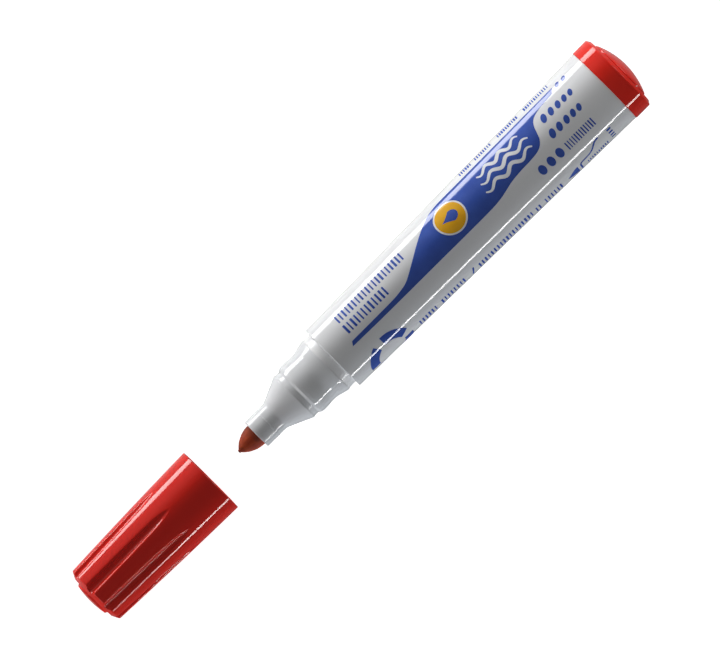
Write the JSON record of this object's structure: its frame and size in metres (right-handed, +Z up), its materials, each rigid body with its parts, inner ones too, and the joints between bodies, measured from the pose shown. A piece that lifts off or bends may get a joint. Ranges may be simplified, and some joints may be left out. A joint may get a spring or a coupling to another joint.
{
  "type": "whiteboard marker",
  "caption": "Bullet-tip whiteboard marker: a tapered white barrel with a red end plug, a pale nose with a fibre nib, and a fluted red cap that pulls off along its axis.",
  "frame": {"origin": "on the surface that the end plug's flange rests on, under the middle of the marker's whole length with the cap off", "axes": "+X along the marker from its nib to its end plug, +Z up from the surface it lies on"},
  "size_m": [0.1724, 0.0206, 0.0206],
  "materials": {
    "barrel_white": "glossy white moulded plastic, printed in blue",
    "print_blue": "blue screen-printed ink on the barrel",
    "print_accent": "amber screen-printed ink on the barrel",
    "section_grey": "satin pale grey moulded plastic",
    "nib_fibre": "pressed fibre, stained brown red with ink",
    "reservoir_fibre": "bundled fibre wad, soaked with red ink",
    "reservoir_film": "thin clear film over the inked wad",
    "plug_red": "glossy red moulded plastic",
    "cap_red": "glossy red moulded plastic",
    "liner_natural": "soft satin plastic, pale and slightly ink-stained"
  },
  "bodies": {
    "pen": {"barrel": "barrel_white", "front_section": "section_grey", "nib": "nib_fibre", "reservoir_core": "reservoir_fibre", "reservoir_wrap": "reservoir_film", "end_plug": "plug_red"},
    "cap": {"cap_shell": "cap_red", "cap_liner": "liner_natural"}
  },
  "joints": [
    {"name": "cap_slide", "type": "slide", "parent": "pen", "child": "cap", "axis": [1, 0, 0], "range_m": [0, 0.03895]}
  ]
}
